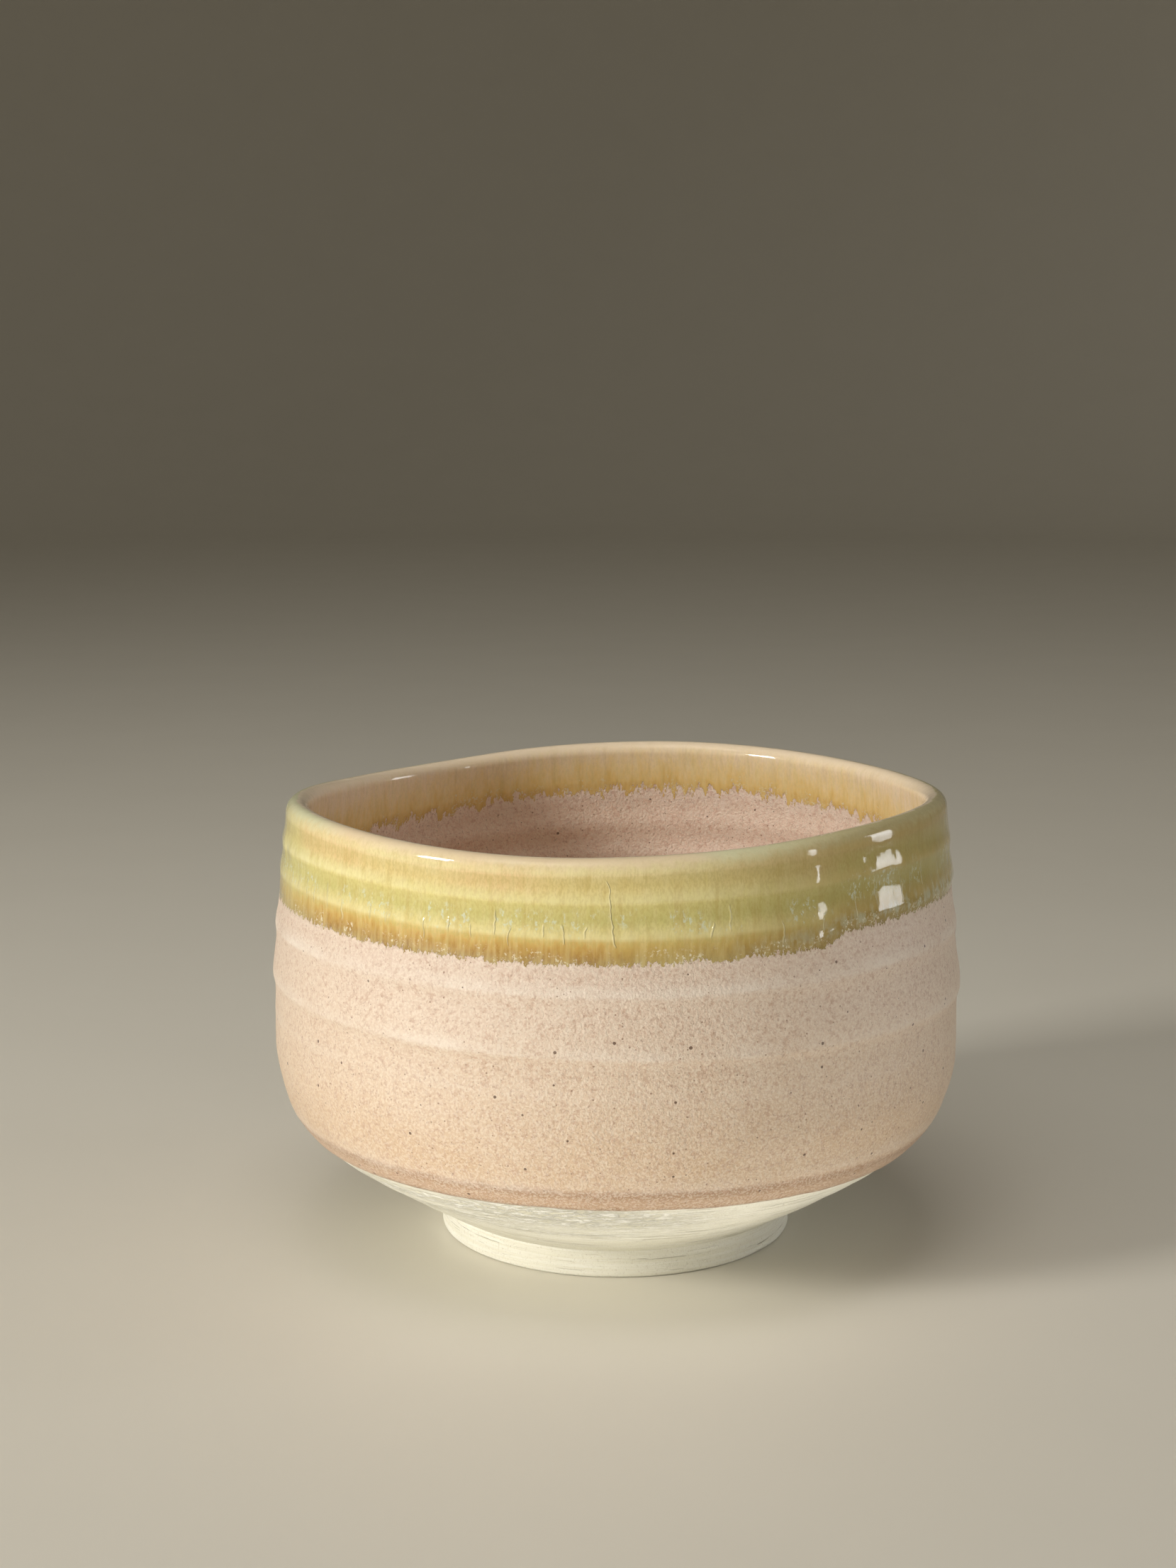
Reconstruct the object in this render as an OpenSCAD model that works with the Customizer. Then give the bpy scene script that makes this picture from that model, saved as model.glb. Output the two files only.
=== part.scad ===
// Matcha bowl: a thrown stoneware body on a trimmed foot ring, with a matte coat outside,
// a matte coat inside and a glossy coat dipped over the lip.
// Millimetres. +Z is up and the origin is the centre of the foot's standing face.

/* [Bowl] */
// Mean height of the lip above the table
rim_h = 77.5; // [70:0.5:85]
// Outside diameter at the fullest part of the wall
belly_d = 120; // [112:1:130]
// Height of the fullest part of the wall
belly_h = 47.5; // [44:0.5:50]
// Outside diameter at the lip
rim_d = 115.6; // [110:0.2:120]
// Thickness of the rounded lip, coats included
lip_t = 4; // [3.4:0.1:5]
// Height of the clay floor inside the bowl
floor_h = 10; // [9:0.5:12]

/* [Foot] */
// Outside diameter of the foot ring
foot_d = 62; // [56:1:68]
// Height of the foot ring
foot_h = 4.8; // [4:0.1:6]
// Width of the ring from its inner to its outer wall
foot_w = 5.5; // [4:0.1:8]
// Rounding on the ring's two lower edges
foot_round = 0.7; // [0.3:0.1:1]

/* [Coats] */
// Thickness of the matte coats
matte_t = 0.4; // [0.3:0.05:0.6]
// Thickness of the glossy coat over the lip
gloss_t = 0.55; // [0.4:0.05:0.8]
// Mean height at which the outer matte coat starts above bare clay
clay_line_h = 19.8; // [17:0.2:24]
// Height at which the glossy coat ends on the outside
gloss_line_h = 61; // [56:0.5:66]
// How far down the inside the glossy coat runs, measured from the lip
gloss_inside = 11.5; // [8:0.5:18]

/* [Hand-made shape] */
// Rise of the rim towards +X
rim_tilt = 0.85; // [0:0.05:1.2]
// Height of the three slow waves round the rim
rim_wave = 0.85; // [0:0.05:1.2]
// How far the rim is out of round, front to back
oval = 0.5; // [0:0.05:0.8]
// Height of the spiral throwing ridges on the outer wall
ridge_t = 0.12; // [0:0.01:0.2]
// Rise of the throwing spiral in one turn
ridge_rise = 8.5; // [7:0.5:12]

/* [Hidden] */
segs = 60;

// Rows of points along the clay's outline, stretch by stretch
under_rows = 4;
flank_rows = 5;
wall_rows = 12;
band_rows = 5;
lip_rows = 7;
inner_band_rows = 3;
bowl_rows = 13;

// The trimmed flank leaves the foot at this slope and swings up into the wall
flank_slope = 31;
flank_pull = 33.5;
belly_pull = 27;
// The wall leans in above its fullest part by this power of the height
lean_power = 1.2;
// The inner wall swings round into the floor within these pulls
inner_bulge = 4.6;
inner_drop = 13;
inner_floor_r = 55;
// A shallow pool in the middle of the floor
pool_r = 17;
pool_deep = 0.8;
// The recess ceiling rises between the ring and the middle
recess_rise = 0.8;

// Turns of the slow waves, in degrees from +X
wave_crest = 82;
bow_crest = 32;
oval_turn = 76;
bow_share = 0.3;

// Waves of the clay line, and the step of the glossy coat's edge on its +X side
clay_line_tilt = 0.75;
clay_line_bow = 0.5;
gloss_step = 1.7;
gloss_step_from = -57;
gloss_step_to = 150;
step_turn = 6;
inside_wave = 2.4;
inside_wave_turn = 70;

// Share of a coat's thickness that stands at its cut edge
edge_share = 0.6;

// Colours of clay, matte coat and glossy coat
clay_colour = [0.93, 0.9, 0.82];
matte_colour = [0.86, 0.74, 0.66];
gloss_colour = [0.72, 0.66, 0.34];

foot_r = foot_d / 2;
foot_in_r = foot_r - foot_w;
wall_r = belly_d / 2 - matte_t;
lip_r = lip_t / 2 - gloss_t;
lip_h = rim_h - lip_t / 2;
lip_mid_r = (rim_d - lip_t) / 2;

flank = [
    [foot_r, foot_h],
    [foot_r + flank_pull * cos(flank_slope), foot_h + flank_pull * sin(flank_slope)],
    [wall_r, belly_h - belly_pull],
    [wall_r, belly_h]
];
inside = [
    [lip_mid_r - lip_r, lip_h],
    [lip_mid_r - lip_r + inner_bulge, floor_h + inner_drop],
    [inner_floor_r, floor_h],
    [0, floor_h]
];

function mix(a, b, t) = a + (b - a) * t;
function ease(t) = let (u = min(1, max(0, t))) u * u * (3 - 2 * u);
function bezier(p, t) =
    pow(1 - t, 3) * p[0] + 3 * pow(1 - t, 2) * t * p[1] + 3 * (1 - t) * t * t * p[2] + pow(t, 3) * p[3];

// Where a curve that only rises, or only falls, passes a height, found by halving
function at_height(p, z, low = 0, high = 1, steps = 24) =
    let (t = (low + high) / 2, short = (bezier(p, t).y < z) == (p[3].y > p[0].y))
    steps == 0 ? t : at_height(p, z, short ? t : low, short ? high : t, steps - 1);

// Heights of the two coat edges and of the rim, round the bowl
function clay_line(a) = clay_line_h - clay_line_tilt * cos(a) - clay_line_bow * cos(2 * a);
function step_side(a) = ease((a - gloss_step_from) / step_turn) - ease((a - gloss_step_to) / step_turn);
function gloss_line(a) = gloss_line_h + gloss_step * step_side(a > 180 ? a - 360 : a);
function inner_line(a) = rim_h - gloss_inside + inside_wave * cos(a - inside_wave_turn);
function rim_lift(a) =
    rim_tilt * cos(a) + rim_wave * (cos(3 * (a - wave_crest)) + bow_share * cos(2 * (a - bow_crest)));

// Radius of the clay's outside at a height
function lean(z) = (wall_r - lip_mid_r - lip_r) * pow((z - belly_h) / (lip_h - belly_h), lean_power);
function smooth_r(z) = z > belly_h ? wall_r - lean(z) : bezier(flank, at_height(flank, z)).x;
function ridge(z, a) =
    ridge_t * cos(360 * z / ridge_rise - a) * ease((z - clay_line_h) / ridge_rise) * ease((lip_h - z) / ridge_rise);
function outside(z, a) = [smooth_r(z) + ridge(z, a), z];
function pool(r) = r < pool_r ? pool_deep * pow(1 - pow(r / pool_r, 2), 2) : 0;
function inner_wall(t) = let (p = bezier(inside, t)) [p.x, p.y - pool(p.x)];

// Moves a point of the outline to where the out-of-round rim has it
function settle(p, a) = [
    p.x + oval * cos(2 * (a - oval_turn)) * pow(max(0, p.y / rim_h), 2),
    p.y + rim_lift(a) * max(0, (p.y - belly_h) / (rim_h - belly_h))
];

// The clay's outline at one angle, from the recess out to the foot, up over the lip and down inside
function outline(a) = let (
    low = clay_line(a),
    high = gloss_line(a),
    edge_in = inner_line(a),
    edge_t = at_height(inside, edge_in)
) [
    for (k = [1 : under_rows]) [foot_in_r * k / under_rows, foot_h + recess_rise * sin(180 * k / under_rows)],
    [foot_r, foot_h],
    for (k = [1 : flank_rows]) outside(mix(foot_h, low, k / flank_rows), a),
    for (k = [1 : wall_rows]) outside(mix(low, high, k / wall_rows), a),
    for (k = [1 : band_rows]) outside(mix(high, lip_h, k / band_rows), a),
    for (k = [1 : lip_rows]) [lip_mid_r, lip_h] + lip_r * [cos(180 * k / lip_rows), sin(180 * k / lip_rows)],
    for (k = [1 : inner_band_rows]) inner_wall(mix(0, edge_t, k / inner_band_rows)),
    for (k = [1 : bowl_rows]) inner_wall(mix(edge_t, 1, k / (bowl_rows + 1)))
];

// Rows of the outline at which the coats start and end
clay_line_row = under_rows + flank_rows;
gloss_line_row = clay_line_row + wall_rows;
inner_line_row = gloss_line_row + band_rows + lip_rows + inner_band_rows;
last_row = inner_line_row + bowl_rows;

angles = [for (j = [0 : segs - 1]) 360 * j / segs];
columns = [for (a = angles) [for (p = outline(a)) settle(p, a)]];

// Direction away from the clay at one row, in the plane of the outline
function away(column, i) =
    let (d = column[min(last_row, i + 1)] - column[max(0, i - 1)]) [d.y, -d.x] / norm(d);
function turned(p, a) = [p.x * cos(a), p.x * sin(a), p.y];
function share(i, first, last, closed) = i == first || (i == last && !closed) ? edge_share : 1;

// Points of every column from row first to row last, raised off the clay by t
function lifted(first, last, t, closed) = [
    for (j = [0 : segs - 1], i = [first : last])
        turned(columns[j][i] + t * share(i, first, last, closed) * away(columns[j], i), angles[j])
];

// Triangles of a closed band of columns of n points, numbered from k, facing out or in
function band(k, n, out) = [
    for (j = [0 : segs - 1], i = [0 : n - 2])
        let (p = k + j * n + i, q = k + (j + 1) % segs * n + i)
        each out ? [[p, q + 1, q], [p, p + 1, q + 1]] : [[p, q, q + 1], [p, q + 1, p + 1]]
];
// Triangles that join one row of a band to the same row of another band
function seam(from, to, n) = [
    for (j = [0 : segs - 1])
        let (p = j * n, q = (j + 1) % segs * n)
        each [[from + p, to + q, from + q], [from + p, to + p, to + q]]
];
// Triangles that close a row over one middle point
function cap(k, n, middle, out) = [
    for (j = [0 : segs - 1])
        let (p = k + j * n, q = k + (j + 1) % segs * n)
        out ? [p, middle, q] : [middle, p, q]
];

module clay_body() {
    n = last_row + 1;
    points = concat(
        lifted(0, last_row, 0, true),
        [[0, 0, foot_h], [0, 0, inner_wall(1).y]]
    );
    faces = concat(
        cap(0, n, segs * n, false),
        band(0, n, true),
        cap(last_row, n, segs * n + 1, true)
    );
    color(clay_colour)
        polyhedron(points, faces, convexity = 6);
}

// A coat on the clay's outline from one row to another, open in the middle like a sleeve
module sleeve(first, last, t) {
    n = last - first + 1;
    k = segs * n;
    faces = concat(
        band(0, n, false),
        band(k, n, true),
        seam(0, k, n),
        seam(k + n - 1, n - 1, n)
    );
    polyhedron(concat(lifted(first, last, 0, false), lifted(first, last, t, false)), faces, convexity = 6);
}

module foot_ring() {
    color(clay_colour)
        rotate_extrude($fn = 120)
            polygon([
                [foot_in_r, foot_h],
                for (a = [180 : 15 : 270])
                    [foot_in_r + foot_round, foot_round] + foot_round * [cos(a), sin(a)],
                for (a = [270 : 15 : 360])
                    [foot_r - foot_round, foot_round] + foot_round * [cos(a), sin(a)],
                [foot_r, foot_h]
            ]);
}

module outer_coat() {
    color(matte_colour)
        sleeve(clay_line_row, gloss_line_row, matte_t);
}

module rim_coat() {
    color(gloss_colour)
        sleeve(gloss_line_row, inner_line_row, gloss_t);
}

module inner_coat() {
    n = last_row - inner_line_row + 1;
    k = segs * n;
    floor_mid = [0, 0, inner_wall(1).y];
    points = concat(
        lifted(inner_line_row, last_row, 0, true),
        lifted(inner_line_row, last_row, matte_t, true),
        [floor_mid, floor_mid + [0, 0, matte_t]]
    );
    faces = concat(
        band(0, n, false),
        band(k, n, true),
        seam(0, k, n),
        [for (f = cap(n - 1, n, 2 * k, true)) [f[2], f[1], f[0]]],
        cap(k + n - 1, n, 2 * k + 1, true)
    );
    color(matte_colour)
        polyhedron(points, faces, convexity = 6);
}

clay_body();
foot_ring();
outer_coat();
inner_coat();
rim_coat();
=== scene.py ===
import math

import bpy
import numpy as np
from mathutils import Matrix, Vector


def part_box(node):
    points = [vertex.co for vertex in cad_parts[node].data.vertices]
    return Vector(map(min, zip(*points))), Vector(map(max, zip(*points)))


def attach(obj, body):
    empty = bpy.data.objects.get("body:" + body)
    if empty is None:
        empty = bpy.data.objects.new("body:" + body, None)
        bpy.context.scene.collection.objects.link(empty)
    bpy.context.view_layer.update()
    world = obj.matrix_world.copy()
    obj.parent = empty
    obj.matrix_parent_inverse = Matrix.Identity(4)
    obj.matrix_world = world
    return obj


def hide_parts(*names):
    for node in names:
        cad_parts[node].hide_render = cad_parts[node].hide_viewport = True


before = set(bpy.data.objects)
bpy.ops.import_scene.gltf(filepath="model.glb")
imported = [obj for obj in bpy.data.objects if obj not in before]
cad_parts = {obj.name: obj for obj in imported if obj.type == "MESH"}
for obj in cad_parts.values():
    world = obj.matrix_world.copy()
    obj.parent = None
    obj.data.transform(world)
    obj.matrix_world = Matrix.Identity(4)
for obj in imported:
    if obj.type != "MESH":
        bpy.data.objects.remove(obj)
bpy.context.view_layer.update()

# Sizes of the bowl in millimetres. The foot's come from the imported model, and the others repeat its design.
MM = 0.001
FOOT_LOW, FOOT_HIGH = (np.array(corner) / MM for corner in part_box("foot_ring"))
FOOT_R = (FOOT_HIGH[0] - FOOT_LOW[0]) / 2
FOOT_H = FOOT_HIGH[2]
FOOT_W = 5.5
FOOT_IN_R = FOOT_R - FOOT_W
FOOT_ROUND = 0.7
RECESS_RISE = 0.8
BELLY_R = 59.6
BELLY_H = 47.5
LIP_T = 4.0
MATTE_T = 0.4
GLOSS_T = 0.55
LIP_MID_R = 55.8
RIM_H = 77.5
LIP_H = RIM_H - LIP_T / 2
LIP_R = LIP_T / 2 - GLOSS_T
FLOOR_H = 10.0
POOL_R, POOL_DEEP = 17.0, 0.8

# The curves between those sizes: the flank's slope and reach, the wall's lean and the turn-in at the floor
FLANK_SLOPE = math.radians(31)
FLANK_REACH = 33.5
FLANK_UPRIGHT = 27
WALL_LEAN = 1.2
INSIDE_BULGE = 4.6
INSIDE_LOW = 13
FLOOR_REACH = 55

# How the rim is out of round and out of level
OVAL, OVAL_TURN = 0.5, math.radians(76)
LIP_UNEVEN = 0.12
RIM_TILT, RIM_WAVE, BOW_SHARE = 0.85, 0.85, 0.3
WAVE_CREST, BOW_CREST = math.radians(82), math.radians(32)

# The edges of the coats: height of the clay line, of the glossy edge outside, and its depth inside
CLAY_LINE_H = 19.8
GLOSS_LINE_H, GLOSS_STEP = 61, 1.7
GLOSS_STEP_UP, GLOSS_STEP_DOWN, GLOSS_STEP_TURN = -57, 150, 6
GLOSS_INSIDE = 11.5
BEAD_TURN, BEAD_T = math.radians(-20), 0.3

# Throwing marks inside: a spiral that climbs this far in a turn, between two distances from the lip's top
SPIRAL_T, SPIRAL_PITCH = 0.2, 7.2
SPIRAL_START, SPIRAL_END, SPIRAL_FADE = 6, 118, 12

# Where the trimming tool tore the clay, in front and behind
ROUGH_FRONT, ROUGH_BACK = math.radians(-118), math.radians(60)

# Points round the bowl on the glazes and on the clay, which has less to show
GLAZE_COLUMNS, CLAY_COLUMNS = 720, 480

# Throwing ridges: height, how far they stand proud, and how fast they fade above and below
RIDGES = (
    (75.2, 0.14, 1.0, 1.0),
    (70.6, 0.22, 1.5, 1.2),
    (65.4, 0.26, 1.7, 1.2),
    (60.4, 0.08, 1.5, 1.5),
    (56.0, 0.36, 2.6, 1.4),
    (46.3, 0.62, 5.0, 1.0),
    (39.5, 0.06, 2.5, 2.5),
    (32.8, 0.40, 4.5, 3.5),
    (24.2, 0.14, 2.0, 4.0),
)
# Half widths of the pale line along a sharp ridge's crest, a painted highlight on the matte glaze and thin
# glaze on the glossy one, and the rise at which it shows in full
CREST_ABOVE, CREST_BELOW = 1.6, 0.45
CREST_RISE = 0.24
# The ridges between these heights tilt this far against the rim
SWAYING, RIDGE_SWAY = (30, 50), -1.2
# Each ridge wanders up and down by this much on its way round, and its strength varies by this share
RIDGE_WANDER, RIDGE_VARIES = 0.35, 0.5
# A ridge that fades within this distance on one side is sharp, and shows a pale crest
SHARP = 3
# Cells as tall as the whole bowl, for noise that changes only round it
WHOLE = 400


def bezier(points, t):
    """Points of a cubic curve at the places t from 0 to 1."""
    p = np.array(points, float)
    t = np.asarray(t)[..., None]
    return (1 - t) ** 3 * p[0] + 3 * (1 - t) ** 2 * t * p[1] + 3 * (1 - t) * t * t * p[2] + t**3 * p[3]


def ease(t):
    """A smooth step from 0 to 1."""
    u = np.clip(t, 0, 1)
    return u * u * (3 - 2 * u)


def clay_outline():
    """The clay's outline above the foot: flank, wall, lip, and the inside down to the floor's middle."""
    out, up = FLANK_REACH * math.cos(FLANK_SLOPE), FLANK_REACH * math.sin(FLANK_SLOPE)
    flank = bezier(
        ((FOOT_R, FOOT_H), (FOOT_R + out, FOOT_H + up),
         (BELLY_R, BELLY_H - FLANK_UPRIGHT), (BELLY_R, BELLY_H)),
        np.linspace(0, 1, 400),
    )
    z = np.linspace(BELLY_H, LIP_H, 300)[1:]
    lean = (BELLY_R - LIP_MID_R - LIP_R) * ((z - BELLY_H) / (LIP_H - BELLY_H)) ** WALL_LEAN
    wall = np.stack([BELLY_R - lean, z], 1)
    a = np.linspace(0, math.pi, 60)[1:]
    lip = np.stack([LIP_MID_R + LIP_R * np.cos(a), LIP_H + LIP_R * np.sin(a)], 1)
    lip_in_r = LIP_MID_R - LIP_R
    inside = bezier(
        ((lip_in_r, LIP_H), (lip_in_r + INSIDE_BULGE, FLOOR_H + INSIDE_LOW),
         (FLOOR_REACH, FLOOR_H), (0, FLOOR_H)),
        np.linspace(0, 1, 800),
    )[1:]
    r = inside[:, 0]
    inside[:, 1] -= np.where(r < POOL_R, POOL_DEEP * (1 - (r / POOL_R) ** 2) ** 2, 0)
    return np.concatenate([flank, wall, lip, inside])


OUTLINE = clay_outline()
STEPS = np.hypot(*np.diff(OUTLINE, axis=0).T)
ALONG = np.concatenate([[0], np.cumsum(STEPS)])
TANGENT = np.gradient(OUTLINE, axis=0)
TANGENT /= np.hypot(*TANGENT.T)[:, None]
LIP_TOP = int(np.argmax(OUTLINE[:, 1]))


def along_outside(z):
    """Distance along the outline at which its outside has height z."""
    return np.interp(z, OUTLINE[:LIP_TOP, 1], ALONG[:LIP_TOP])


def along_inside(z):
    """Distance along the outline at which its inside has height z."""
    falling = slice(LIP_TOP, int(np.argmin(OUTLINE[LIP_TOP:, 1])) + LIP_TOP)
    return np.interp(-z, -OUTLINE[falling, 1], ALONG[falling])


def outline_at(s):
    """Radius, height and outward normal of the outline at distance s along it."""
    r = np.interp(s, ALONG, OUTLINE[:, 0])
    z = np.interp(s, ALONG, OUTLINE[:, 1])
    tr = np.interp(s, ALONG, TANGENT[:, 0])
    tz = np.interp(s, ALONG, TANGENT[:, 1])
    return r, z, tz, -tr


def rim_lift(a):
    """How far the rim stands above its mean height."""
    return RIM_TILT * np.cos(a) + RIM_WAVE * (
        np.cos(3 * (a - WAVE_CREST)) + BOW_SHARE * np.cos(2 * (a - BOW_CREST))
    )


def settle(r, z, a):
    """Moves a point of the outline to where the out-of-round, slightly uneven rim has it."""
    near_rim = np.clip((z - BELLY_H) / (RIM_H - BELLY_H), 0, None)
    uneven = LIP_UNEVEN * ripple(43, 17, WHOLE, a, 0 * z) * near_rim**3
    return (
        r + OVAL * np.cos(2 * (a - OVAL_TURN)) * np.clip(z / RIM_H, 0, None) ** 2 + uneven,
        z + rim_lift(a) * near_rim + uneven,
    )


def clay_line(a):
    """Height at which the outer matte coat starts."""
    return CLAY_LINE_H - 0.75 * np.cos(a) - 0.5 * np.cos(2 * a)


def gloss_line(a):
    """Height at which the glossy coat ends outside. It steps up on the +X side."""
    turn = np.degrees((a + np.pi) % (2 * np.pi) - np.pi)
    up, down = (ease((turn - at) / GLOSS_STEP_TURN) for at in (GLOSS_STEP_UP, GLOSS_STEP_DOWN))
    return GLOSS_LINE_H + GLOSS_STEP * (up - down)


def inner_line(a):
    """Height at which the glossy coat ends inside."""
    return RIM_H - GLOSS_INSIDE + 2.4 * np.cos(a - math.radians(70))


def ripple(seed, around, gap, a, z):
    """Smooth noise from -1 to 1 on the wall: `around` cells in a turn, and a cell every `gap` of height."""
    table = np.random.default_rng(seed).uniform(-1, 1, (around, 256))
    u = (a / (2 * np.pi) * around) % around
    v = np.clip(z / gap, 0, 254)
    i, j = u.astype(int) % around, v.astype(int)
    fu, fv = ease(u - np.floor(u)), ease(v - j)
    low = table[i, j] * (1 - fu) + table[(i + 1) % around, j] * fu
    high = table[i, j + 1] * (1 - fu) + table[(i + 1) % around, j + 1] * fu
    return low * (1 - fv) + high * fv


def ridge_height(a, z):
    """How far the throwing ridges stand proud, and the same from 0 to 1 for the material."""
    proud = np.zeros_like(z)
    share = np.zeros_like(z)
    for height, rise, above, below in RIDGES:
        seed = int(height * 10)
        sway = RIDGE_SWAY * np.cos(a) if SWAYING[0] < height < SWAYING[1] else 0
        d = z - height - sway - RIDGE_WANDER * ripple(seed, 9, WHOLE, a, z)
        fade = np.exp(-((d / np.where(d > 0, above, below)) ** 2))
        strength = 1 + RIDGE_VARIES * ripple(seed + 1, 7, WHOLE, a, z)
        proud += rise * strength * fade
        if min(above, below) < SHARP:
            thin = np.exp(-((d / np.where(d > 0, CREST_ABOVE, CREST_BELOW)) ** 2))
            share = np.maximum(share, thin * strength * min(1, rise / CREST_RISE))
    return proud, share


def wall_shape(a, z):
    """Uneven hand-made surface of the outer wall, in millimetres off the smooth outline."""
    proud, share = ridge_height(a, z)
    slow = 0.12 * ripple(3, 7, 14, a, z)
    lumps = 0.05 * ripple(4, 96, 3.5, a, z) + 0.03 * ripple(5, 200, 1.8, a, z)
    return proud + slow + lumps - 0.1, share


def sheet(name, columns, rows, closed_middle=None):
    """A mesh from a grid of points, in columns round the bowl. A middle point can close its last row."""
    n = rows.shape[1]
    verts = rows.reshape(-1, 3) * MM
    j = np.arange(columns)[:, None]
    i = np.arange(n - 1)[None, :]
    p = (j * n + i).ravel()
    q = ((j + 1) % columns * n + i).ravel()
    faces = np.stack([p, q, q + 1, p + 1], 1).tolist()
    if closed_middle is not None:
        k = len(verts)
        verts = np.concatenate([verts, np.array([closed_middle]) * MM])
        last = np.arange(columns) * n + n - 1
        faces += np.stack([last, np.roll(last, -1), np.full(columns, k)], 1).tolist()
    mesh = bpy.data.meshes.new(name)
    mesh.from_pydata(verts.tolist(), [], faces)
    mesh.polygons.foreach_set("use_smooth", [True] * len(mesh.polygons))
    mesh.update()
    piece = bpy.data.objects.new(name, mesh)
    bpy.context.scene.collection.objects.link(piece)
    return piece


def note(piece, **fields):
    """Stores a number per point on the mesh, for its material to read."""
    count = len(piece.data.vertices)
    for name, field in fields.items():
        values = np.asarray(field, float).ravel()
        values = np.concatenate([values, np.full(count - len(values), values[-1])])
        piece.data.attributes.new(name, "FLOAT", "POINT").data.foreach_set("value", values)


def turned(r, z, a):
    """Points at radius r and height z, turned by a about the bowl's axis."""
    return np.stack([r * np.cos(a), r * np.sin(a), z], -1)


def angles(columns):
    """One angle for each column, as a column of numbers."""
    return np.linspace(0, 2 * np.pi, columns, endpoint=False)[:, None]


def spread(start, end, count):
    """`count` places from start to end in each column."""
    return start + (end - start) * np.linspace(0, 1, count)[None, :]


def edge_of(s, a):
    """Distance to the glossy edge, positive on the glossy side, and 1 for places inside the bowl."""
    low = along_outside(gloss_line(a))
    high = along_inside(inner_line(a))
    middle = ALONG[LIP_TOP]
    return np.where(s < middle, s - low, high - s), (s > middle).astype(float)


def coat(name, s, a, thickness, middle=None):
    """One coat of glaze over the clay at the places s, with the throwing marks that show through it."""
    r, z, nr, nz = outline_at(s)
    outer = s < ALONG[LIP_TOP]
    proud, share = wall_shape(a + 0 * s, z)
    down = s - ALONG[LIP_TOP]
    spiral = SPIRAL_T * np.cos(2 * np.pi * down / SPIRAL_PITCH - a)
    spiral = spiral * ease((down - SPIRAL_START) / SPIRAL_FADE) * ease((SPIRAL_END - down) / SPIRAL_FADE)
    inner_lumps = 0.05 * ripple(6, 60, 4.5, a, np.clip(down, 0, None)) + spiral
    below_lip = ease((LIP_H + 1.5 - z) / 5)
    t = thickness + np.where(outer, proud, inner_lumps) * below_lip
    r, z = r + nr * t, z + nz * t
    rr, zz = settle(r, z, a)
    piece = sheet(name, len(a), turned(rr, zz, a), middle)
    edge, inside = edge_of(s, a)
    note(piece, edge=edge, inside=inside, crest=np.where(outer, share, 0), height=z,
         lip=np.abs(s - ALONG[LIP_TOP]), above_clay=z - clay_line(a))
    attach(piece, "root")
    return piece


def tucked(s, thickness):
    """Adds a row at a coat's lower edge that runs back to the clay, so that the edge shows its thickness."""
    s = np.concatenate([s[:, :1], s], 1)
    thickness = np.concatenate([0 * thickness[:, :1] - 0.1, thickness], 1)
    return s, thickness


def outer_coat():
    """The matte coat outside, from the clay line up to the glossy edge."""
    a = angles(GLAZE_COLUMNS)
    shaky = 0.12 * ripple(11, 90, WHOLE, a, a * 0) + 0.06 * ripple(12, 300, WHOLE, a, a * 0)
    start = along_outside(clay_line(a) + shaky)
    end = along_outside(gloss_line(a))
    s = spread(start, end, 112)
    roll = ease((s - start) / 0.8)
    t = MATTE_T * (0.55 + 0.45 * roll) + 0 * s
    s, t = tucked(s, t)
    piece = coat("outer_glaze", s, a, t)
    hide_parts("outer_coat")
    return piece


def rim_coat():
    """The glossy coat over the lip, from edge to edge, with a bead where it ran thick."""
    a = angles(GLAZE_COLUMNS)
    start = along_outside(gloss_line(a))
    end = along_inside(inner_line(a))
    s = spread(start, end, 104)
    depth = np.minimum(s - start, end - s)
    heavy = ease((np.cos(a - BEAD_TURN) - 0.55) / 0.3) * (0.75 + 0.25 * ripple(13, 60, WHOLE, a, 0 * a))
    bead = BEAD_T * heavy * np.exp(-(((s - start - 1.2) / 0.9) ** 2))
    t = MATTE_T + (GLOSS_T - MATTE_T) * ease(depth / 2) + bead
    piece = coat("rim_glaze", s, a, t)
    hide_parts("rim_coat")
    return piece


def inner_coat():
    """The matte coat inside, from the glossy edge down to the middle of the floor."""
    a = angles(CLAY_COLUMNS)
    start = along_inside(inner_line(a))
    s = spread(start, ALONG[-1] - 0.6, 150)
    middle = (0, 0, OUTLINE[-1, 1] + MATTE_T)
    piece = coat("inner_glaze", s, a, MATTE_T + 0 * s, middle)
    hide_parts("inner_coat")
    return piece


def trimming(a, d):
    """Rings that the trimming tool leaves, at distance d along the flank."""
    return 0.06 * ripple(21, 5, 0.7, a, d) + 0.08 * ripple(22, 3, 1.9, a, d)


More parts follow.
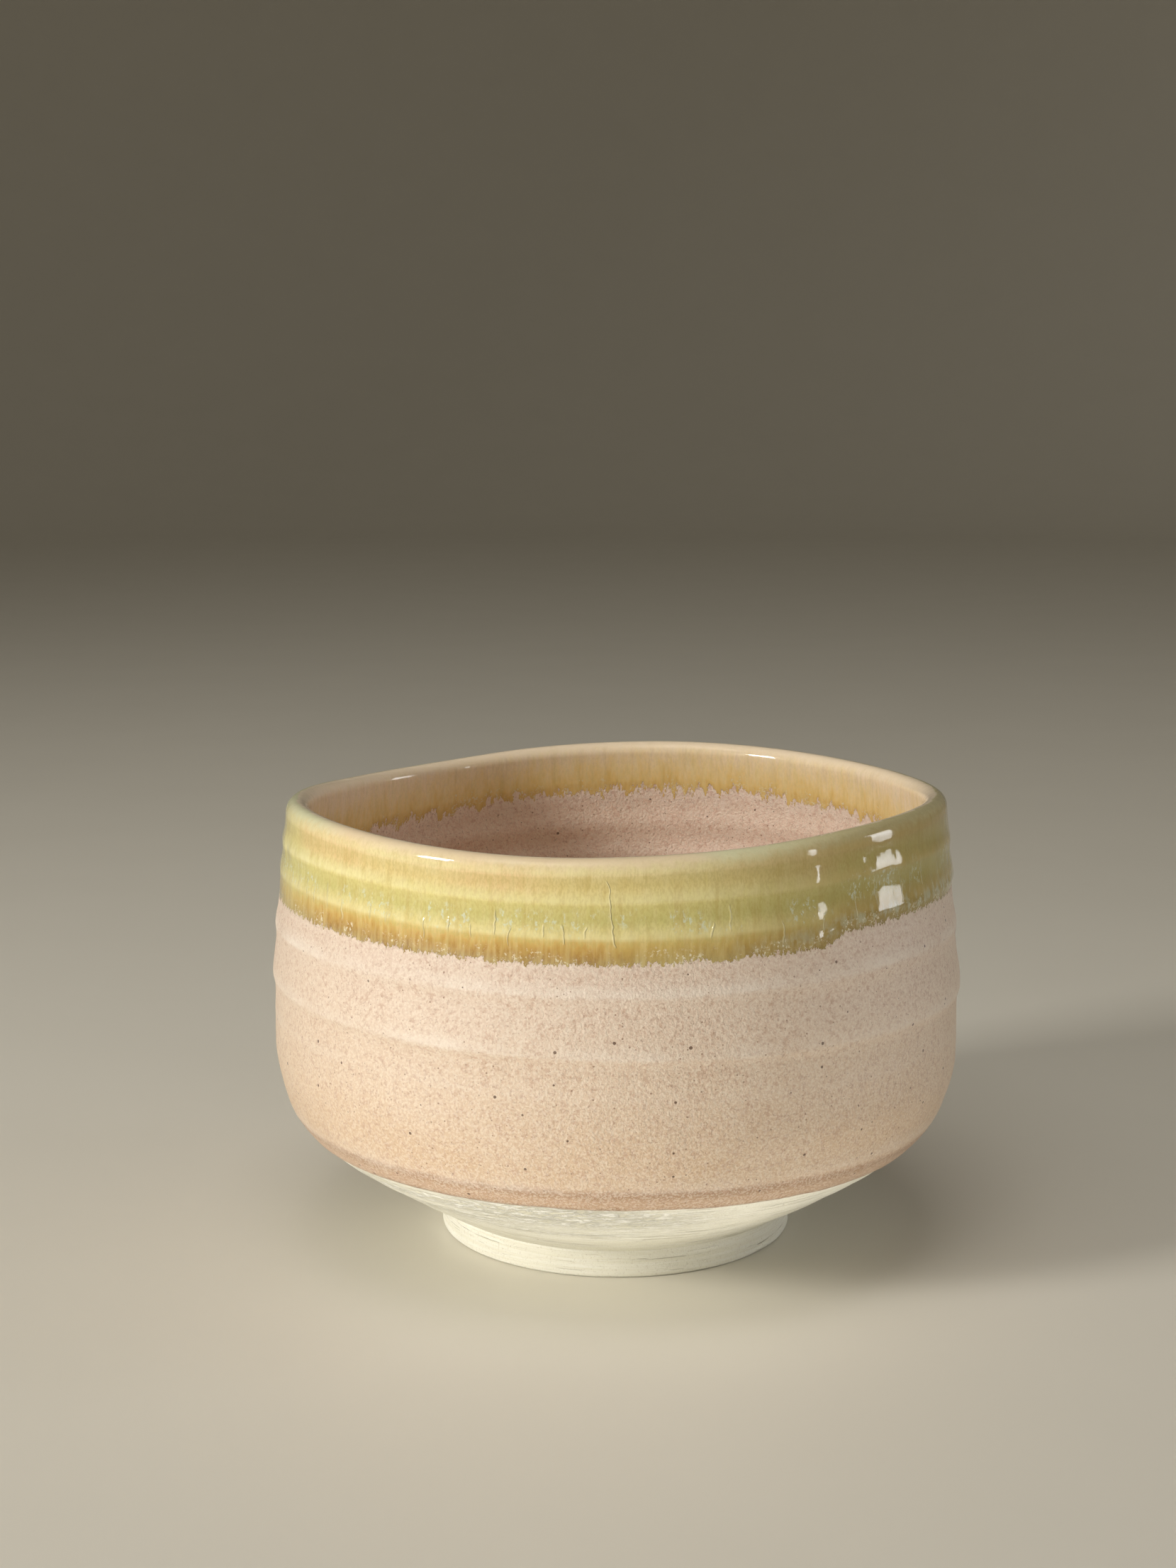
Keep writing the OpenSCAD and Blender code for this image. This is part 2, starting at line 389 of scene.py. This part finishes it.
def clay_body():
    """The bare clay: the flank up to just behind the outer coat, and the recess inside the foot ring."""
    a = angles(CLAY_COLUMNS)
    top = along_outside(clay_line(a) + 2)
    s = spread(0 * a, top, 150)
    r, z, nr, nz = outline_at(s)
    t = trimming(a + 0 * s, s) * ease(s / 1.5)
    flank_r, flank_z = settle(r + nr * t, z + nz * t, a)
    u = np.linspace(0.02, 1, 40)[None, :]
    under_r = FOOT_IN_R * u + 0 * a
    under_z = FOOT_H + RECESS_RISE * np.sin(np.pi * u) + 0.04 * ripple(24, 4, 0.6, a + 0 * u, under_r)
    ledge_r = spread(0 * a + FOOT_IN_R, 0 * a + FOOT_R, 4)[:, 1:-1]
    rr = np.concatenate([under_r, ledge_r, flank_r], 1)[:, ::-1]
    zz = np.concatenate([under_z, 0 * ledge_r + FOOT_H, flank_z], 1)[:, ::-1]
    piece = sheet("clay_body", len(a), turned(rr, zz, a), (0, 0, FOOT_H))
    piece.data.flip_normals()
    front = ease((np.cos(a - ROUGH_FRONT) - 0.55) / 0.35)
    back = ease((np.cos(a - ROUGH_BACK) - 0.7) / 0.3)
    patchy = 0.7 + 0.6 * ripple(25, 14, 3, a + 0 * s, s)
    torn = np.clip((front + 0.6 * back) * patchy, 0, 1) * ease((s - 9) / 5)
    under = np.zeros((len(a), under_r.shape[1] + ledge_r.shape[1]))
    ring = np.concatenate([under_r, ledge_r, s + FOOT_R], 1)[:, ::-1]
    note(piece, torn=np.concatenate([torn[:, ::-1], under], 1), ring=ring,
         flank=np.concatenate([1 + 0 * torn, under], 1))
    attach(piece, "root")
    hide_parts("clay_body")
    return piece


def foot_ring():
    """The foot ring: up its inner wall, round its two lower edges and up its outer wall."""
    a = angles(CLAY_COLUMNS)
    turn_in = np.linspace(math.pi, 1.5 * math.pi, 8)
    turn_out = np.linspace(1.5 * math.pi, 2 * math.pi, 8)
    inner_up = np.linspace(FOOT_H, FOOT_ROUND, 14)[:-1]
    outer_up = np.linspace(FOOT_ROUND, FOOT_H, 20)[1:]
    r = np.concatenate([
        np.full(13, FOOT_IN_R),
        FOOT_IN_R + FOOT_ROUND + FOOT_ROUND * np.cos(turn_in),
        np.linspace(FOOT_IN_R + FOOT_ROUND, FOOT_R - FOOT_ROUND, 12)[1:-1],
        FOOT_R - FOOT_ROUND + FOOT_ROUND * np.cos(turn_out),
        np.full(19, FOOT_R),
    ])[None, :]
    z = np.concatenate([
        inner_up,
        FOOT_ROUND + FOOT_ROUND * np.sin(turn_in),
        np.zeros(10),
        FOOT_ROUND + FOOT_ROUND * np.sin(turn_out),
        outer_up,
    ])[None, :]
    d = np.concatenate([[0], np.cumsum(np.hypot(*np.diff(np.stack([r[0], z[0]]), axis=1)))])[None, :]
    turn, along = a + 0 * r, d + 0 * a
    worn = 0.05 * ripple(31, 40, 2.0, turn, along) + 0.05 * ripple(32, 3, 0.7, turn, along)
    side = ease(z / 1.2) * ease((FOOT_H - z) / 0.6)
    r = r + worn * side * np.where(r > (FOOT_R + FOOT_IN_R) / 2, 1, -1)
    piece = sheet("foot_ring_clay", len(a), turned(r, z + 0 * a, a))
    note(piece, torn=0 * r, ring=d + 0 * r, flank=0 * r)
    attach(piece, "root")
    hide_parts("foot_ring")
    return piece


class Tree:
    """Adds nodes to a new material and links them."""

    def __init__(self, name):
        self.material = bpy.data.materials.new(name)
        self.material.use_nodes = True
        self.tree = self.material.node_tree
        self.shader = self.tree.nodes["Principled BSDF"]
        coordinates = self.tree.nodes.new("ShaderNodeTexCoord").outputs["Object"]
        self.place = self.vector("SCALE", coordinates, scale=1 / MM)
        split = self.tree.nodes.new("ShaderNodeSeparateXYZ")
        self.put(split.inputs[0], self.place)
        self.side, self.depth = split.outputs[0], split.outputs[1]

    def put(self, socket, value):
        """Links a node's output to a socket, or sets the socket to a number or colour."""
        if isinstance(value, bpy.types.NodeSocket):
            self.tree.links.new(value, socket)
        else:
            socket.default_value = value

    def vector(self, operation, a, b=None, scale=None):
        """One step of vector arithmetic."""
        node = self.tree.nodes.new("ShaderNodeVectorMath")
        node.operation = operation
        self.put(node.inputs[0], a)
        if b is not None:
            self.put(node.inputs[1], b)
        if scale is not None:
            self.put(node.inputs["Scale"], scale)
        return node.outputs["Vector"]

    def math(self, operation, a, b=0.0):
        """One step of arithmetic."""
        node = self.tree.nodes.new("ShaderNodeMath")
        node.operation = operation
        self.put(node.inputs[0], a)
        self.put(node.inputs[1], b)
        return node.outputs[0]

    def field(self, name):
        """A number that the mesh holds at each point."""
        node = self.tree.nodes.new("ShaderNodeAttribute")
        node.attribute_name = name
        return node.outputs["Fac"]

    def noise(self, scale, stretch=(1, 1, 1), detail=2.0, roughness=0.5):
        """Noise with about `scale` features in a millimetre, near 0.5 on average."""
        node = self.tree.nodes.new("ShaderNodeTexNoise")
        self.put(node.inputs["Vector"], self.vector("MULTIPLY", self.place, stretch))
        node.inputs["Scale"].default_value = scale
        node.inputs["Detail"].default_value = detail
        node.inputs["Roughness"].default_value = roughness
        return node.outputs["Fac"]

    def rings(self, scale, detail, around=0.02):
        """Noise in rings round the bowl, by the distance along its outline that the mesh holds.

        A ring changes `around` times as fast along its way as across it.
        """
        along = self.tree.nodes.new("ShaderNodeCombineXYZ")
        for socket, value in zip(along.inputs, (self.side, self.depth, self.field("ring"))):
            self.put(socket, value if socket.name == "Z" else self.math("MULTIPLY", value, around))
        node = self.tree.nodes.new("ShaderNodeTexNoise")
        self.put(node.inputs["Vector"], along.outputs[0])
        node.inputs["Scale"].default_value = scale
        node.inputs["Detail"].default_value = detail
        node.inputs["Roughness"].default_value = 0.75
        return node.outputs["Fac"]

    def cells(self, scale):
        """Distance to the middle of a random cell, and the cell's own random number."""
        node = self.tree.nodes.new("ShaderNodeTexVoronoi")
        self.put(node.inputs["Vector"], self.place)
        node.inputs["Scale"].default_value = scale
        split = self.tree.nodes.new("ShaderNodeSeparateColor")
        self.put(split.inputs[0], node.outputs["Color"])
        return node.outputs["Distance"], split.outputs[0]

    def step(self, value, low, high, start=0.0, end=1.0):
        """A smooth step from start to end as value goes from low to high."""
        node = self.tree.nodes.new("ShaderNodeMapRange")
        node.interpolation_type = "SMOOTHSTEP"
        for socket, number in zip(node.inputs, (value, low, high, start, end)):
            self.put(socket, number)
        return node.outputs["Result"]

    def mix(self, factor, a, b):
        """A colour between a and b."""
        node = self.tree.nodes.new("ShaderNodeMix")
        node.data_type = "RGBA"
        self.put(node.inputs["Factor"], factor)
        for name, colour in (("A", a), ("B", b)):
            socket = next(s for s in node.inputs if s.name == name and s.type == "RGBA")
            self.put(socket, (*colour, 1) if isinstance(colour, tuple) else colour)
        return next(s for s in node.outputs if s.type == "RGBA")

    def blend(self, factor, a, b):
        """A number between a and b."""
        node = self.tree.nodes.new("ShaderNodeMix")
        for socket, value in zip(node.inputs[:1] + node.inputs[2:4], (factor, a, b)):
            self.put(socket, value)
        return node.outputs[0]

    def ramp(self, value, low, high, stops):
        """Colours along value, each stop at its own place between low and high."""
        node = self.tree.nodes.new("ShaderNodeValToRGB")
        scaled = self.math("DIVIDE", self.math("SUBTRACT", value, low), high - low)
        self.put(node.inputs["Fac"], scaled)
        points = node.color_ramp.elements
        while len(points) < len(stops):
            points.new(0.5)
        for point, (at, colour) in zip(points, stops):
            point.position = (at - low) / (high - low)
            point.color = (*colour, 1)
        return node.outputs["Color"]

    def bump(self, height):
        """Relief from a height in millimetres."""
        node = self.tree.nodes.new("ShaderNodeBump")
        node.inputs["Strength"].default_value = 1.0
        node.inputs["Distance"].default_value = MM
        self.put(node.inputs["Height"], height)
        self.put(self.shader.inputs["Normal"], node.outputs["Normal"])


def shares(t, *factors):
    """The product of several factors."""
    product = factors[0]
    for factor in factors[1:]:
        product = t.math("MULTIPLY", product, factor)
    return product


def specks(t, spacing, size, chance_from):
    """Round dots up to `size` millimetres across, at random about `spacing` millimetres apart or more."""
    distance, chance = t.cells(1 / spacing)
    radius = shares(t, t.step(chance, chance_from, 1.0), size / 2 / spacing)
    return t.math("LESS_THAN", distance, radius)


def matte_base(t, inside, height, ragged):
    """Pink glaze, browner low on the wall and paler by the glossy edge inside."""
    wall = t.ramp(height, 18, 62, (
        (18, (0.57, 0.40, 0.25)),
        (27, (0.66, 0.48, 0.32)),
        (40, (0.70, 0.54, 0.40)),
        (50, (0.72, 0.57, 0.45)),
        (61, (0.70, 0.55, 0.45)),
    ))
    base = t.mix(inside, wall, (0.80, 0.60, 0.48))
    patches = t.step(t.noise(0.12, detail=3), 0.35, 0.7)
    base = t.mix(shares(t, patches, 0.3), base, (0.76, 0.62, 0.49))
    pale = shares(t, t.step(ragged, -3.5, -0.5), inside)
    return t.mix(shares(t, pale, 0.6), base, (0.89, 0.75, 0.65))


def brown_band(t, base, inside, above_clay):
    """The thin brown start of the matte glaze over the clay line, with a darker line along its top."""
    outside = t.math("SUBTRACT", 1.0, inside)
    uneven = t.math("ADD", above_clay, shares(t, t.math("SUBTRACT", t.noise(0.5, detail=3), 0.5), 1.6))
    band = t.ramp(uneven, 0, 5, (
        (0.0, (0.30, 0.16, 0.09)),
        (0.6, (0.52, 0.34, 0.22)),
        (1.8, (0.54, 0.36, 0.24)),
        (2.8, (0.40, 0.24, 0.14)),
        (3.5, (0.40, 0.24, 0.15)),
        (4.2, (0.57, 0.39, 0.26)),
    ))
    return t.mix(shares(t, t.step(uneven, 4.6, 3.8), outside, 0.85), base, band)


def matte_grain(t, base, inside):
    """Rosy mottle, pale grain and dark pits. Gives the grain too, for the roughness."""
    mottle = t.step(t.noise(1.0, detail=4, roughness=0.65), 0.5, 0.63)
    rosy = t.mix(inside, (0.54, 0.35, 0.25), (0.63, 0.40, 0.30))
    base = t.mix(shares(t, mottle, t.blend(inside, 0.58, 0.65)), base, rosy)
    grain = t.step(t.noise(2.4, detail=2, roughness=0.6), 0.46, 0.58)
    base = t.mix(shares(t, grain, 0.4), base, (0.87, 0.78, 0.66))
    pits = t.step(t.noise(2.1, detail=3, roughness=0.7), 0.42, 0.34)
    base = t.mix(shares(t, pits, 0.55), base, (0.42, 0.26, 0.18))
    return base, grain


def matte_colour(t, inside, height, above_clay, crest, ragged):
    """Speckled pink matte glaze, with a painted highlight along the crests of the ridges."""
    base = brown_band(t, matte_base(t, inside, height, ragged), inside, above_clay)
    base, grain = matte_grain(t, base, inside)
    broken = t.step(t.noise(0.09, detail=3), 0.3, 0.62, 0.25, 1.0)
    # Painted highlight: a pale line along the crests of the ridges.
    base = t.mix(shares(t, crest, broken, 0.42), base, (0.87, 0.79, 0.70))
    base = t.mix(shares(t, specks(t, 1.1, 0.32, 0.4), 0.75), base, (0.27, 0.15, 0.09))
    base = t.mix(shares(t, specks(t, 2.3, 0.56, 0.5), 0.85), base, (0.12, 0.06, 0.035))
    return base, grain


def glass_layers(t, inside, outside, edge):
    """The glossy glaze's own colour: amber at its edge, green above it, and peach in places under the lip."""
    wall = t.ramp(edge, 0, 18, (
        (0.0, (0.25, 0.12, 0.025)),
        (1.2, (0.38, 0.20, 0.045)),
        (2.8, (0.57, 0.36, 0.10)),
        (4.6, (0.68, 0.56, 0.21)),
        (6.6, (0.60, 0.55, 0.22)),
        (9.4, (0.70, 0.61, 0.24)),
        (12.5, (0.72, 0.58, 0.26)),
        (16.0, (0.76, 0.65, 0.38)),
    ))
    bowl = t.ramp(edge, 0, 14, (
        (0.0, (0.70, 0.46, 0.15)),
        (1.6, (0.80, 0.57, 0.22)),
        (4.5, (0.87, 0.67, 0.35)),
        (7.5, (0.90, 0.73, 0.50)),
        (11.0, (0.91, 0.77, 0.62)),
    ))
    colour = t.mix(inside, wall, bowl)
    green = t.step(t.noise(0.016, detail=1), 0.42, 0.6)
    colour = t.mix(shares(t, green, outside, 0.35), colour, (0.62, 0.60, 0.22))
    peach = shares(t, t.step(edge, 9.5, 12.5), t.step(t.noise(0.02, detail=2), 0.56, 0.44), outside)
    return t.mix(shares(t, peach, 0.6), colour, (0.74, 0.49, 0.26))


def run_marks(t, colour, inside):
    """Streaks, runs and crystals in the glossy glaze, all drawn out down the wall."""
    streak = t.step(t.noise(1.5, (1, 1, 0.1), detail=3), 0.4, 0.68)
    colour = t.mix(shares(t, streak, 0.3), colour, (0.78, 0.68, 0.36))
    runs = t.step(t.noise(0.7, (1, 1, 0.12), detail=4, roughness=0.65), 0.5, 0.66)
    colour = t.mix(shares(t, runs, t.blend(inside, 0.4, 0.16)), colour, (0.50, 0.34, 0.10))
    crystal = t.step(t.noise(3.0, (1, 1, 0.5), detail=2, roughness=0.6), 0.42, 0.62)
    return t.mix(shares(t, crystal, t.blend(inside, 0.3, 0.12)), colour, (0.42, 0.30, 0.08))


def over_ridges(t, colour, outside, edge, crest, shaded_side):
    """The glossy glaze lies thin and pale over the ridges and thick and dark between them."""
    patchy = t.step(t.noise(0.5, (1, 1, 0.5), detail=3), 0.3, 0.6, 0.45, 1.0)
    # The pale crest of thin glaze turns darker ochre on the +X side: painted shade.
    on_crest = t.mix(shaded_side, (0.86, 0.80, 0.46), (0.58, 0.43, 0.17))
    trough = t.step(crest, 0.25, 0.0)
    colour = t.mix(shares(t, trough, outside, t.step(edge, 3.0, 5.0), 0.22), colour, (0.44, 0.38, 0.11))
    return t.mix(shares(t, crest, outside, patchy, 0.6), colour, on_crest)


def milky_flecks(t, colour, outside, edge):
    """Milky flecks in a belt of the glossy glaze. Gives where they are too, for the roughness."""
    belt = shares(t, t.step(edge, 3.6, 5.6), t.step(edge, 9.0, 7.0), outside)
    milk = t.step(t.noise(1.3, (1, 1, 0.6), detail=4, roughness=0.7), 0.53, 0.63)
    some = t.step(t.noise(0.12, detail=1), 0.42, 0.58)
    milk = shares(t, milk, belt, some)
    colour = t.mix(shares(t, milk, 0.6), colour, (0.66, 0.74, 0.64))
    return colour, milk


def pale_edge_crumbs(t, colour, edge):
    """Pale crumbs along the edge of the glossy glaze."""
    crumbs = t.step(t.noise(1.9, detail=3, roughness=0.7), 0.54, 0.6)
    crumbs = shares(t, crumbs, t.step(edge, 2.6, 1.4), t.step(t.noise(0.3), 0.42, 0.6))
    return t.mix(shares(t, crumbs, 0.75), colour, (0.80, 0.74, 0.56))


def pale_lip(t, colour, inside, lip, shaded_side):
    """The glossy glaze runs thin and pale over the lip."""
    top = t.step(t.math("ADD", lip, t.math("MULTIPLY", t.noise(0.8, detail=3), 1.6)), 3.4, 1.4)
    lip_patch = t.step(t.noise(0.022, detail=2), 0.42, 0.58)
    cap = t.mix(inside, t.mix(lip_patch, (0.72, 0.73, 0.49), (0.82, 0.66, 0.46)), (0.87, 0.72, 0.53))
    # The pale cap shows less on the +X side: painted shade, partly the glaze's own olive there.
    return t.mix(shares(t, top, t.blend(shaded_side, 0.85, 0.3)), colour, cap)


def gloss_colour(t, inside, edge, crest, lip):
    """Glassy amber and green glaze, darker on the +X side, away from the key lamp: partly the glaze's own
    deeper olive and partly painted shade.
    """
    outside = t.math("SUBTRACT", 1.0, inside)
    shaded_side = shares(t, t.step(t.side, 8, 44), outside)
    colour = run_marks(t, glass_layers(t, inside, outside, edge), inside)
    # Painted shade, partly the glaze's own deeper olive: the +X side is mixed toward dark olive.
    colour = t.mix(shares(t, shaded_side, 0.62), colour, (0.29, 0.235, 0.08))
    colour = over_ridges(t, colour, outside, edge, crest, shaded_side)
    colour, milk = milky_flecks(t, colour, outside, edge)
    colour = pale_lip(t, pale_edge_crumbs(t, colour, edge), inside, lip, shaded_side)
    haze = shares(t, shaded_side, t.step(edge, 0.5, 1.2), t.step(edge, 4.0, 1.6),
                  t.step(t.noise(0.8, (1, 1, 0.6), detail=3), 0.42, 0.6))
    colour = t.mix(shares(t, haze, 0.45), colour, (0.56, 0.60, 0.49))
    return colour, milk


def fine_runs(t, edge, inside):
    """Fine raised runs down the band, one in most of the cells round the bowl, each its own length."""
    spacing = 3.6
    turn = t.math("ARCTAN2", t.depth, t.side)
    along = t.math("MULTIPLY", turn, LIP_MID_R / spacing)
    cell = t.math("FLOOR", along)
    luck = t.tree.nodes.new("ShaderNodeTexWhiteNoise")
    luck.noise_dimensions = "1D"
    t.put(luck.inputs["W"], cell)
    parts = t.tree.nodes.new("ShaderNodeSeparateColor")
    t.put(parts.inputs[0], luck.outputs["Color"])
    sideways, start, length = parts.outputs[0], parts.outputs[1], parts.outputs[2]
    middle = t.math("ADD", cell, t.math("ADD", t.math("MULTIPLY", sideways, 0.5), 0.25))
    off = t.math("MULTIPLY", t.math("SUBTRACT", along, middle), spacing)
    wander = t.math("MULTIPLY", t.math("SUBTRACT", t.noise(0.35, detail=2), 0.5), 1.6)
    tilt = shares(t, t.math("SUBTRACT", length, 0.5), t.math("SUBTRACT", edge, 5.0), 0.25)
    gap = t.math("ABSOLUTE", t.math("ADD", t.math("ADD", off, wander), tilt))
    line = t.step(gap, 0.18, 0.05)
    low = t.math("ADD", 1.2, t.math("MULTIPLY", start, 3.0))
    long = t.step(length, 0.95, 0.97, 0.0, 6.0)
    high = t.math("ADD", t.math("ADD", low, 2.0), t.math("ADD", t.math("MULTIPLY", length, 3.0), long))
    above = t.step(t.math("SUBTRACT", edge, low), 0.0, 0.8)
    below = t.step(t.math("SUBTRACT", high, edge), 0.0, 0.8)
    kept = t.step(sideways, 0.15, 0.2)
    return shares(t, line, above, below, kept, t.math("SUBTRACT", 1.0, inside))


def glaze(name):
    """Both glazes in one material. Which one shows depends on the place of the ragged glossy edge."""
    t = Tree(name)
    edge, inside = t.field("edge"), t.field("inside")
    crest, lip = t.field("crest"), t.field("lip")
    height, above_clay = t.field("height"), t.field("above_clay")
    fine = t.math("SUBTRACT", t.noise(1.5, (1, 1, 0.5), detail=3, roughness=0.75), 0.5)
    long = t.math("SUBTRACT", t.noise(0.5, (1, 1, 0.35), detail=3, roughness=0.6), 0.5)
    reach = t.blend(inside, 3.5, 5.5)
    fingers = t.blend(inside, 1.4, 8.0)
    ragged = t.math("ADD", edge, t.math("MULTIPLY", fine, reach))
    ragged = t.math("ADD", ragged, t.math("MULTIPLY", long, fingers))
    gloss = t.step(ragged, -0.12, 0.12)
    pink, grain = matte_colour(t, inside, height, above_clay, crest, ragged)
    glass, milk = gloss_colour(t, inside, t.math("MAXIMUM", ragged, 0.0), crest, lip)
    run = fine_runs(t, edge, inside)
    glass = t.mix(shares(t, run, 0.45), glass, (0.80, 0.74, 0.46))
    t.put(t.shader.inputs["Base Color"], t.mix(gloss, pink, glass))
    shine = t.math("ADD", 0.06, shares(t, milk, 0.15))
    dull = t.math("ADD", 0.36, shares(t, grain, 0.12))
    t.put(t.shader.inputs["Roughness"], t.blend(gloss, dull, shine))
    suede = shares(t, t.noise(1.8, detail=3, roughness=0.65), 0.24)
    dimple = shares(t, t.noise(0.4, detail=1), 0.05)
    orange_peel = shares(t, t.noise(1.6, (1, 1, 0.4)), 0.007)
    thick = 0.16
    glassy = t.math("ADD", t.math("ADD", dimple, orange_peel), thick)
    relief = t.blend(gloss, suede, glassy)
    t.bump(t.math("ADD", relief, shares(t, run, 0.12)))
    return t.material


def bare_clay():
    """Unglazed clay with trimming rings, fine scores, sand and, where it was torn, long pale chips."""
    t = Tree("bare_clay")
    rings = t.rings(1.9, 5)
    colour = t.mix(t.step(rings, 0.38, 0.62), (0.875, 0.85, 0.72), (0.955, 0.94, 0.845))
    flank, torn = t.field("flank"), t.field("torn")
    scores = t.math("MAXIMUM", t.step(t.rings(3.1, 3), 0.37, 0.31),
                    shares(t, t.step(t.rings(1.25, 3, 0.03), 0.39, 0.33), flank))
    colour = t.mix(shares(t, scores, t.blend(torn, 0.45, 0.8)), colour, (0.56, 0.51, 0.36))
    blotch = t.step(t.noise(0.1, detail=3), 0.4, 0.7)
    colour = t.mix(shares(t, blotch, 0.35), colour, (0.90, 0.88, 0.74))
    sand = t.step(t.noise(3.0, detail=2), 0.56, 0.7)
    colour = t.mix(shares(t, sand, 0.3), colour, (0.60, 0.54, 0.42))
    chips = t.step(t.rings(1.5, 5, 0.3), 0.42, 0.58)
    chipped = t.mix(chips, (0.72, 0.69, 0.54), (0.97, 0.96, 0.90))
    colour = t.mix(shares(t, torn, 0.7), colour, chipped)
    colour = t.mix(shares(t, specks(t, 1.6, 0.35, 0.6), 0.5), colour, (0.36, 0.25, 0.16))
    t.put(t.shader.inputs["Base Color"], colour)
    t.put(t.shader.inputs["Roughness"], t.step(rings, 0.3, 0.7, 0.92, 0.75))
    grit = shares(t, t.noise(2.4, detail=4, roughness=0.7), 0.12)
    relief = t.math("ADD", t.math("SUBTRACT", grit, shares(t, scores, 0.18)), shares(t, rings, 0.16))
    t.bump(t.math("ADD", relief, shares(t, chips, torn, 0.16)))
    return t.material


def dress(piece, material):
    """Gives a piece its only material."""
    piece.data.materials.clear()
    piece.data.materials.append(material)


def floor():
    """A plain pale floor that curves up into a backdrop far behind the bowl, the same all the way round."""
    flat, bend, top = 2.2, 0.8, 2.4
    turn = np.linspace(0, math.pi / 2, 20)
    r = np.concatenate([[0.5, 1.2], flat + bend * np.sin(turn), [flat + bend]]) / MM
    z = np.concatenate([[0, 0], bend - bend * np.cos(turn), [top]]) / MM
    a = angles(96)
    rings = turned(r[None, :] + 0 * a, z[None, :] + 0 * a, a)[:, ::-1]
    piece = sheet("floor", len(a), rings, (0, 0, 0))
    piece.data.flip_normals()
    t = Tree("floor")
    colour = t.mix(t.noise(0.02, detail=3), (0.75, 0.72, 0.64), (0.78, 0.75, 0.67))
    t.put(t.shader.inputs["Base Color"], colour)
    t.shader.inputs["Roughness"].default_value = 0.55
    dress(piece, t.material)


def softbox(name, azimuth, elevation, distance, size, power, colour, mirrored=True, spread_angle=180):
    """A rectangular lamp that faces the bowl. Its own reflection shows in the glaze if it is mirrored.

    A low lamp has a narrow spread, so that it doesn't burn a spot into the floor beside it.
    """
    light = bpy.data.lights.new(name, "AREA")
    light.shape = "RECTANGLE"
    light.size, light.size_y = size
    light.energy = power
    light.color = colour
    light.spread = math.radians(spread_angle)
    lamp = bpy.data.objects.new(name, light)
    lamp.visible_glossy = mirrored
    a, e = math.radians(azimuth), math.radians(elevation)
    out = Vector((math.cos(a) * math.cos(e), math.sin(a) * math.cos(e), math.sin(e)))
    lamp.location = out * distance + Vector((0, 0, 0.05))
    lamp.rotation_euler = out.to_track_quat("Z", "Y").to_euler()
    bpy.context.scene.collection.objects.link(lamp)


def bounce(power, colour):
    """The light that a sunlit floor throws up under the bowl. The lamp lies on the floor, unseen itself."""
    light = bpy.data.lights.new("bounce", "AREA")
    light.shape = "RECTANGLE"
    light.size, light.size_y = 0.30, 0.18
    light.energy = power
    light.color = colour
    lamp = bpy.data.objects.new("bounce", light)
    lamp.location = (-0.03, -0.13, 0.002)
    lamp.rotation_euler = (math.pi, 0, 0)
    lamp.visible_camera = False
    lamp.visible_glossy = False
    bpy.context.scene.collection.objects.link(lamp)


def lights():
    """A warm key low on the left, strips on the right for the glaze to mirror, and soft light from above."""
    sunny, warm, cool = (1.0, 0.965, 0.90), (1.0, 0.95, 0.86), (0.97, 0.98, 1.0)
    softbox("key", -152, 21, 1.2, (0.24, 0.24), 2.45, sunny, spread_angle=100)
    softbox("fill", -80, 30, 1.5, (1.4, 1.0), 0.2, warm, mirrored=False)
    softbox("low card", -125, 0.5, 1.6, (0.7, 0.1), 0.26, sunny, mirrored=False, spread_angle=34)
    softbox("strip", 8, 9, 0.8, (0.16, 0.30), 0.085, cool, spread_angle=50)
    softbox("thin strip", -24, 9, 0.8, (0.04, 0.26), 0.023, cool, spread_angle=50)
    softbox("top", -132, 62, 1.4, (0.7, 0.7), 2.0, sunny)
    softbox("overhead", -100, 80, 1.3, (0.6, 0.6), 3.2, sunny, mirrored=False)
    bounce(0.095, sunny)
    world = bpy.data.worlds.new("studio")
    world.use_nodes = True
    background = world.node_tree.nodes["Background"]
    background.inputs["Color"].default_value = (0.82, 0.75, 0.63, 1)
    background.inputs["Strength"].default_value = 0.15
    bpy.context.scene.world = world


def camera():
    """A camera at the photograph's viewing angle."""
    data = bpy.data.cameras.new("camera")
    data.lens = 53.5
    data.sensor_width = 36
    seen_from = bpy.data.objects.new("camera", data)
    seen_from.location = (0, -0.4027, 0.1443)
    seen_from.rotation_euler = (math.radians(90 - 9.24), 0, math.radians(0.7))
    bpy.context.scene.collection.objects.link(seen_from)
    bpy.context.scene.camera = seen_from


matte, gloss, clay = glaze("matte_glaze"), glaze("gloss_glaze"), bare_clay()
dress(outer_coat(), matte)
dress(inner_coat(), matte)
dress(rim_coat(), gloss)
dress(clay_body(), clay)
dress(foot_ring(), clay)
floor()
lights()
camera()
bpy.context.scene.view_settings.view_transform = "Standard"
